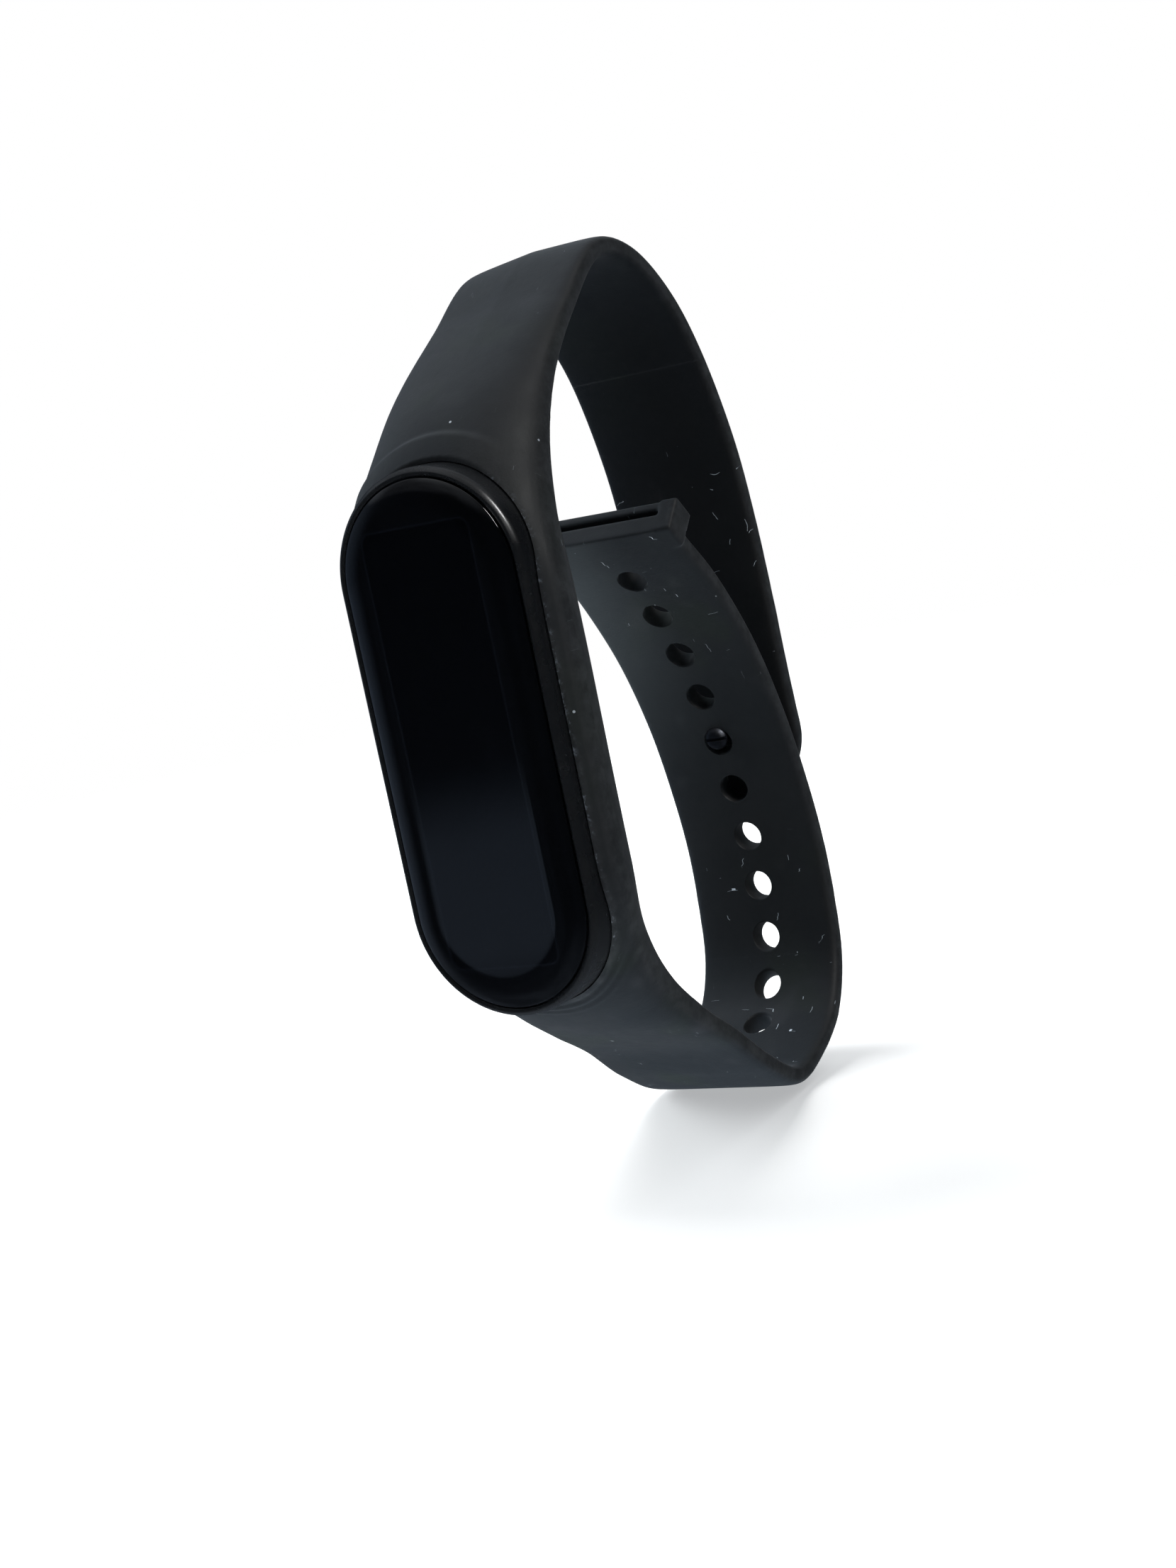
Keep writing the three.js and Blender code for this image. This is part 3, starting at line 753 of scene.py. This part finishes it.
def stud_strap_mesh():
    """From the crest down the back to the rounded tip, with the sunk seat for the stud."""
    tip_start = PATH.length - TIP_RADIUS
    near_tip = tip_start + TIP_RADIUS * np.sin(np.linspace(0, math.pi / 2, 16))

    def narrow(distance):
        return math.sqrt(max(0.01, 1 - (max(0, distance - tip_start) / TIP_RADIUS) ** 2))

    start = PATH.station(CREST_STATION)
    strap = sweep("stud_strap_rubber", [*spaced(start, tip_start)[:-1], *near_tip], narrow)
    softened(strap)
    seat = PATH.length - STUD_FROM_END
    for reach in ([(0.2, STUD_RECESS), (0.85, STUD_RECESS), (1.6, 5.8)], [(-3, 1.1), (3, 1.1)]):
        drill = cylinder("drill", reach, PATH.centre(seat), PATH.outward(seat), sides=96)
        combined(strap, drill, "DIFFERENCE")
    return strap


# ---------- moulded detail and wear on the wristband ----------


def smooth_step(value, low, high):
    t = np.clip((value - low) / (high - low), 0, 1)
    return t * t * (3 - 2 * t)


def read_vectors(made, what, key="co"):
    count = len(what)
    out = np.zeros(count * 3)
    what.foreach_get(key, out)
    return out.reshape(-1, 3)


def local_points(made):
    co = read_vectors(made, made.data.vertices)
    return (co - np.array([0, SEAM_Y, 0])) / MM


def from_seam(points):
    """Distance outside the capsule opening's outline, seen from the front."""
    past = np.maximum(np.abs(points[:, 2]) - PILL_STRAIGHT, 0)
    return np.hypot(points[:, 0], past) - SEAM_RADIUS


def emboss(made):
    """A low collar over the top of the opening and stretch lines under it; the crest leans a little."""
    points = local_points(made)
    normals = read_vectors(made, made.data.vertex_normals, "vector")
    away = from_seam(points)
    front = smooth_step(-points[:, 1], -9, -7) * (normals[:, 1] < 0.2)
    top = smooth_step(points[:, 2], 15, 20) * smooth_step(-points[:, 0], -7.5, -2)
    collar = 0.28 * smooth_step(-away, -2.4, -1.8) * smooth_step(away, -0.1, 0.25)
    bottom = smooth_step(-points[:, 2], 17, 21)
    lines = 0.06 * np.sin(away * 2 * math.pi / 0.62) * smooth_step(-away, -1.9, -0.9)
    lines *= smooth_step(away, 0.1, 0.4)
    height = front * (top * collar + bottom * lines)
    points += normals * height[:, None]
    points[:, 2] += lean(points)
    made.data.vertices.foreach_set("co", to_frame(points).ravel())
    made.data.update()


def lean(points):
    """How much lower the crest's far side hangs."""
    return 0.11 * np.minimum(points[:, 0], 0) * smooth_step(points[:, 2], 27, 36)


def store(made, name, values, kind="FLOAT"):
    attribute = made.data.attributes.new(name, kind, "POINT")
    key = "vector" if kind == "FLOAT_VECTOR" else "value"
    attribute.data.foreach_set(key, np.asarray(values, np.float32).ravel())


CHUNK = 20000                       # points handled at once, to save memory


def mark_surface(made, start, stop):
    """Stores where each point lies along and across the band, and where dust and wear gather."""
    points = local_points(made)
    normals = read_vectors(made, made.data.vertex_normals, "vector")
    distances = np.linspace(start, stop, 420)
    centres = np.array([PATH.centre(d)[1:] for d in distances])
    outs = np.array([PATH.outward(d) for d in distances])
    widths = np.array([PATH.at(d)[2] for d in distances])
    nearest = np.zeros(len(points), int)
    for low in range(0, len(points), CHUNK):
        chunk = points[low:low + CHUNK, None, 1:] - centres[None]
        nearest[low:low + CHUNK] = np.argmin((chunk**2).sum(2), 1)
    across = points[:, 0]
    out = outs[nearest]
    offset = ((points[:, 1:] - centres[nearest]) * out[:, 1:]).sum(1)
    facing = (normals * out).sum(1)
    store(made, "band_place", np.stack([distances[nearest], across, offset * 3], 1), "FLOAT_VECTOR")
    store(made, "inside", smooth_step(-facing, 0.2, 0.6))
    edge = smooth_step(np.abs(across) / widths[nearest], 0.93, 0.99) * (1 - np.abs(facing))
    lip = np.exp(-((from_seam(points) - 0.15) / 0.35) ** 2) * (points[:, 1] < 3) * (normals[:, 1] < 0.3)
    store(made, "wear", np.clip(edge + 0.8 * lip, 0, 1))
    gap = np.exp(-((from_seam(points)) / 0.22) ** 2) * (points[:, 1] < 1.5)
    store(made, "seam", gap)


def finish_rubber(made, name, body, replaced):
    made.name = name
    made.data.name = name
    made.data.materials.clear()
    made.data.materials.append(MATERIALS["band_rubber"])
    made.data.shade_smooth()
    made.data.set_sharp_from_angle(angle=math.radians(50))
    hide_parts(replaced)
    if body:
        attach(made, body)


def cut(made, region, operation):
    """Keeps what is inside or outside a region, a box given by its two corners."""
    return combined(made, block("cutter", (0, 0, 0), np.eye(3), *region), operation)


def cut_copy(made, name, region, operation):
    piece = bpy.data.objects.new(name, made.data.copy())
    bpy.context.scene.collection.objects.link(piece)
    return cut(piece, region, operation)


loop = loop_mesh()
emboss(loop)
mark_surface(loop, 0, PATH.station(CLASP_FLEX_STATION))
strap = stud_strap_mesh()
emboss(strap)
mark_surface(strap, PATH.station(CREST_STATION), PATH.length)

FAR = 30
stub = ((-FAR, 34, 17), (FAR, 55, CUT_HEIGHT))
hole_region = ((-FAR, 24, HOLE_CUT_HEIGHT), (FAR, 55, 16.5))
above_cut = ((-FAR, 20, CUT_HEIGHT), (FAR, 55, 60))

main_band = cut(cut_copy(loop, "main", stub, "DIFFERENCE"), hole_region, "DIFFERENCE")
hole_strap = cut_copy(loop, "hole", hole_region, "INTERSECT")
stud_strap = cut_copy(strap, "stud", above_cut, "DIFFERENCE")
drop(loop)
drop(strap)

finish_rubber(main_band, "wristband_rubber", "band", "wristband")
finish_rubber(hole_strap, "hole_strap_with_keeper", None, "hole_strap")
finish_rubber(stud_strap, "stud_strap_rubber", None, "stud_strap")


def bend_at_joint(made):
    """Bakes a strap's placement into its mesh."""
    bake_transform(made)


bend_at_joint(hole_strap)
bend_at_joint(stud_strap)

# ---------- clasp stud ----------

SEAT = PATH.length - STUD_FROM_END
SEAT_CENTRE = PATH.centre(SEAT)
SEAT_OUT = PATH.outward(SEAT)


def finish_hard(made, material_slot, body, *replaced, sharp=35):
    fixed_normals(made)
    made.data.materials.clear()
    made.data.materials.append(MATERIALS[material_slot])
    made.data.shade_smooth()
    made.data.set_sharp_from_angle(angle=math.radians(sharp))
    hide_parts(*replaced)
    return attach(made, body)


def stud_cap():
    """A low dished button with a rounded rim."""
    outline = outline_points([
        (0.5, 4.6), (0.5, 5.0), (1.33, 5.0, 0.35), (1.35, 4.0, 0.3), (1.22, 3.4, 0.3), (1.20, 0.01),
    ])
    made = cylinder("stud_cap_button", outline, SEAT_CENTRE, SEAT_OUT, sides=96)
    return finish_hard(made, "stud_plastic", "clasp", "stud_cap")


def stud_pin():
    """A mushroom-headed pin with a slot across its head, pushed through the strap's hole."""
    outline = outline_points([
        (0.45, 0.01), (0.45, 0.9), (-3.75, 0.9, 0.1), (-3.9, 1.15, 0.15), (-4.2, 1.15, 0.2),
        (-4.6, 0.75, 0.3), (-4.62, 0.01),
    ])
    made = cylinder("stud_pin_head", outline, SEAT_CENTRE, SEAT_OUT)
    axes = [(1, 0, 0), SEAT_OUT, np.cross((1, 0, 0), SEAT_OUT)]
    half_slot = 0.16
    slot = block("slot", SEAT_CENTRE, axes, (-2, -5.5, -half_slot), (2, -4.15, half_slot))
    combined(made, slot, "DIFFERENCE")
    return finish_hard(made, "stud_metal", "clasp", "stud_pin")


stud_cap()
stud_pin()

# ---------- capsule ----------

Y_AXIS = (0, 1, 0)
CONTACT_Z = -16
CONTACTS = {"left": -2.6, "right": 2.6}


def glass():
    """Cover glass with a long curved edge, flattest in the middle."""
    reach = np.linspace(0, 1, 26)
    curve = [(5.2 + 3.05 * t, GLASS_FRONT + 0.72 * t**3) for t in reach]
    edge = [(8.28, -1.42), (8.29, -1.34), (8.27, -1.24), (8.2, -1.2)]
    outline = [(2.0, GLASS_FRONT), (4.0, GLASS_FRONT)] + curve + edge
    made = pill("cover_glass_curved", outline, segments=160, along=24)
    return finish_hard(made, "cover_glass", "capsule", "cover_glass", sharp=60)


def ring_pill(name, outline, segments=160, along=24):
    """A pill-shaped ring whose outline closes on itself."""
    made = pill(name, outline, segments=segments, along=along)
    work = bmesh.new()
    work.from_mesh(made.data)
    caps = [f for f in work.faces if len(f.verts) > 4]
    loops = [list(f.edges) for f in caps]
    bmesh.ops.delete(work, geom=caps, context="FACES_ONLY")
    bmesh.ops.bridge_loops(work, edges=loops[0] + loops[1])
    work.to_mesh(made.data)
    work.free()
    return made


def front_housing():
    """The front shell: a softly rounded shoulder round the glass, over a straight wall."""
    outline = outline_points([
        (8.42, -0.85), (8.42, -1.3), (8.70, -1.45, 0.2), (9.17, -1.0, 0.6), (9.17, 3.6, 0.1), (8.4, 3.6),
        (8.4, 4.8, 0.1), (7.9, 4.8, 0.1), (7.9, 0.25), (6.75, 0.25), (6.75, -0.85), (8.4, -0.85),
    ])
    made = ring_pill("capsule_front_shell", outline)
    return finish_hard(made, "housing_plastic", "capsule", "front_housing")


def rear_housing():
    """The rear shell: a bowl whose back is pierced for the sensor window and the contacts."""
    outline = outline_points([
        (0.01, 8.6), (5.6, 8.6), (7.2, 7.0), (7.8, 4.95), (8.5, 4.95), (8.5, 4.05), (9.1, 4.05, 0.15),
        (8.45, 6.2, 1.5), (7.55, 8.0, 1.2), (6.1, 9.5, 1.2), (0.01, 9.5),
    ], steps=8)
    made = pill("capsule_rear_shell", outline, segments=128, along=16)
    window = cylinder("window", [(8, 5.3), (11, 5.3)], (0, 0, 0), Y_AXIS, sides=96)
    combined(made, window, "DIFFERENCE")
    for x in CONTACTS.values():
        socket = cylinder("socket", [(8, 1.3), (11, 1.3)], (x, 0, CONTACT_Z), Y_AXIS)
        combined(made, socket, "DIFFERENCE")
    return finish_hard(made, "housing_plastic", "capsule", "rear_housing")


def sensor_window():
    """A dark domed window in the back, with a bevelled rim."""
    outline = outline_points([
        (9.4, 0.01), (9.4, 4.3), (8.05, 4.3), (8.05, 5.9), (8.4, 5.9), (8.4, 5.1), (9.75, 5.1, 0.1),
        (10.1, 4.75, 0.3), (10.18, 3.0, 1.5), (10.2, 0.01),
    ], steps=6)
    made = cylinder("sensor_window_dome", outline, (0, 0, 0), Y_AXIS, sides=128)
    return finish_hard(made, "sensor_window", "capsule", "sensor_window")


def charge_contact(side, x):
    """A gilt pad with a turned rim and a slightly hollow face."""
    outline = outline_points([
        (7.0, 0.01), (7.0, 0.7), (8.3, 0.7), (8.3, 1.1), (9.6, 1.1, 0.15), (9.75, 0.85, 0.2),
        (9.66, 0.4, 0.3), (9.64, 0.01),
    ])
    made = cylinder(f"charge_contact_{side}_pin", outline, (x, 0, CONTACT_Z), Y_AXIS)
    return finish_hard(made, "gold_contact", "capsule", f"charge_contact_{side}")


glass()
front_housing()
rear_housing()
sensor_window()
for side, x in CONTACTS.items():
    charge_contact(side, x)

# ---------- floor, light and surroundings ----------

FLOOR_Z = cad_bounds[0].z - 0.0004
FLOOR_RADIUS = 0.42
FLOOR_SIDES = 96


def floor():
    """A pale, faintly glowing round floor that fades out. It casts no shadow and gloss doesn't show it."""
    radii = [0.002 * 1.35**k for k in range(18)]
    radii = [r for r in radii if r < FLOOR_RADIUS] + [FLOOR_RADIUS]
    turn = np.linspace(0, 2 * math.pi, FLOOR_SIDES, endpoint=False)
    points = [(0, 0, FLOOR_Z)]
    for r in radii:
        points += [(r * math.cos(a), r * math.sin(a), FLOOR_Z) for a in turn]
    steps = [(k, (k + 1) % FLOOR_SIDES) for k in range(FLOOR_SIDES)]
    faces = [(0, 1 + k, 1 + n) for k, n in steps]
    for ring in range(len(radii) - 1):
        low = 1 + ring * FLOOR_SIDES
        high = low + FLOOR_SIDES
        faces += [(low + k, high + k, high + n, low + n) for k, n in steps]
    mesh = bpy.data.meshes.new("floor")
    mesh.from_pydata(points, [], faces)
    made = bpy.data.objects.new("floor", mesh)
    bpy.context.scene.collection.objects.link(made)
    mesh.materials.append(floor_material())
    made.visible_glossy = False
    made.visible_shadow = False


def floor_material():
    surface = Surface("floor", Roughness=0.9, Specular_IOR_Level=0.1, Emission_Strength=0.42)
    surface.shader.inputs["Emission Color"].default_value = (0.97, 0.985, 1, 1)
    uneven = surface.noise(8, 2)
    surface.color(surface.mix(uneven, (0.50, 0.505, 0.50, 1), (0.54, 0.545, 0.54, 1)))
    squares = [surface.math("POWER", surface.separate(surface.place, k), 2.0) for k in (0, 1)]
    radius = surface.math("SQRT", surface.math("ADD", *squares))
    surface.feed(surface.shader, "Alpha", surface.steps(radius, 0.16, 0.40, 1, 0))
    return surface.material


floor()

# (height from -1 straight down to 1 straight up, colour)
SOFT_LIGHT = [
    (-1, (0.9, 0.93, 0.96)), (-0.1, (0.8, 0.83, 0.86)), (0.3, (0.8, 0.82, 0.85)),
    (1, (1.0, 1.02, 1.05)),
]
GLOSS_LIGHT = [
    (-1, (0.10, 0.12, 0.15)), (-0.3, (0.024, 0.03, 0.04)), (0.0, (0.008, 0.011, 0.016)),
    (0.45, (0.012, 0.015, 0.02)), (0.75, (0.22, 0.235, 0.26)), (1, (0.5, 0.52, 0.55)),
]


def surroundings():
    """White to the camera, dimmer in front for soft light, and mostly dark at eye level for gloss.

    Gloss also meets a low patch of light in front on the left, and a glow straight to the left.
    """
    world = bpy.data.worlds.new("studio")
    bpy.context.scene.world = world
    world.use_nodes = True
    studio = Nodes(world.node_tree)
    studio.tree.nodes.clear()
    output = studio.add("ShaderNodeOutputWorld")
    ray = studio.add("ShaderNodeLightPath").outputs
    direction = studio.add("ShaderNodeTexCoord").outputs["Generated"]
    height = studio.separate(direction, 2)

    def ramp(stops, strength):
        node = studio.add("ShaderNodeValToRGB")
        lift = studio.add("ShaderNodeMapRange")
        lift.inputs["From Min"].default_value = -1
        studio.link(height, lift.inputs["Value"])
        studio.link(lift.outputs[0], node.inputs[0])
        elements = node.color_ramp.elements
        while len(elements) < len(stops):
            elements.new(0.5)
        for element, (stop, color) in zip(elements, stops):
            element.position = (stop + 1) / 2
            element.color = (*color, 1)
        background = studio.add("ShaderNodeBackground")
        studio.link(node.outputs[0], background.inputs["Color"])
        studio.link(strength, background.inputs["Strength"])
        return background.outputs[0]

    def choose(factor, no, yes):
        node = studio.add("ShaderNodeMixShader")
        for socket, value in zip(node.inputs, (factor, no, yes)):
            studio.link(value, socket)
        return node.outputs[0]

    def towards(*aim):
        node = studio.add("ShaderNodeVectorMath", operation="DOT_PRODUCT")
        studio.link(direction, node.inputs[0])
        node.inputs[1].default_value = aim
        return node.outputs["Value"]

    def product(first, *others):
        for other in others:
            first = studio.math("MULTIPLY", first, other)
        return first

    front = studio.steps(towards(0.35, -0.94, 0), -0.6, 0.6, 1.0, 0.12)
    across = towards(0.82, -0.57, 0)
    patch = product(
        studio.steps(height, -0.235, -0.205),
        studio.steps(height, -0.125, -0.165),
        studio.steps(across, -0.13, -0.03),
        studio.steps(across, 0.075, 0.06),
        studio.steps(towards(-0.57, -0.82, 0), 0.5, 0.6),
    )
    left = product(studio.steps(towards(-1, 0, 0), 0.72, 0.97), studio.steps(height, -0.55, -0.1))
    clouds = studio.add("ShaderNodeTexNoise")
    clouds.inputs["Scale"].default_value = 2.2
    studio.link(direction, clouds.inputs["Vector"])
    uneven = studio.steps(clouds.outputs["Fac"], 0.35, 0.65, 0.55, 1.35)
    room = studio.math("ADD", studio.math("MULTIPLY_ADD", patch, 9.0, uneven), product(left, 7.0))
    white = studio.add("ShaderNodeBackground")
    white.inputs[0].default_value = (1, 1, 1, 1)
    lit = choose(ray["Is Glossy Ray"], ramp(SOFT_LIGHT, front), ramp(GLOSS_LIGHT, room))
    seen = choose(ray["Is Camera Ray"], lit, white.outputs[0])
    studio.link(seen, output.inputs["Surface"])


surroundings()


def softbox(name, place, width, height, power, color=(1, 1, 1), glossy=False, diffuse=True):
    """A lamp that faces the middle of the band. The camera doesn't see it."""
    data = bpy.data.lights.new(name, "AREA")
    data.shape = "RECTANGLE"
    data.size, data.size_y = width, height
    data.energy = power
    data.color = color
    made = bpy.data.objects.new(name, data)
    made.location = place
    made.rotation_euler = (-Vector(place)).to_track_quat("-Z", "Y").to_euler()
    made.visible_glossy = glossy
    made.visible_diffuse = diffuse
    made.visible_camera = False
    bpy.context.scene.collection.objects.link(made)


softbox("key", (-0.26, 0.07, 0.44), 0.26, 0.26, 3.0)
softbox("glint", (0.33, -0.15, 0.33), 0.06, 0.16, 1.4, glossy=True, diffuse=False)
softbox("fill_left", (-0.46, -0.04, 0.20), 0.24, 0.24, 3.2, (0.93, 0.97, 1.0))
softbox("fill_low", (-0.06, -0.05, -0.34), 0.40, 0.20, 2.8)
softbox("rim_back", (-0.10, 0.45, 0.25), 0.40, 0.30, 1.6, (0.96, 0.98, 1.0))

bpy.context.scene.view_settings.view_transform = "Standard"
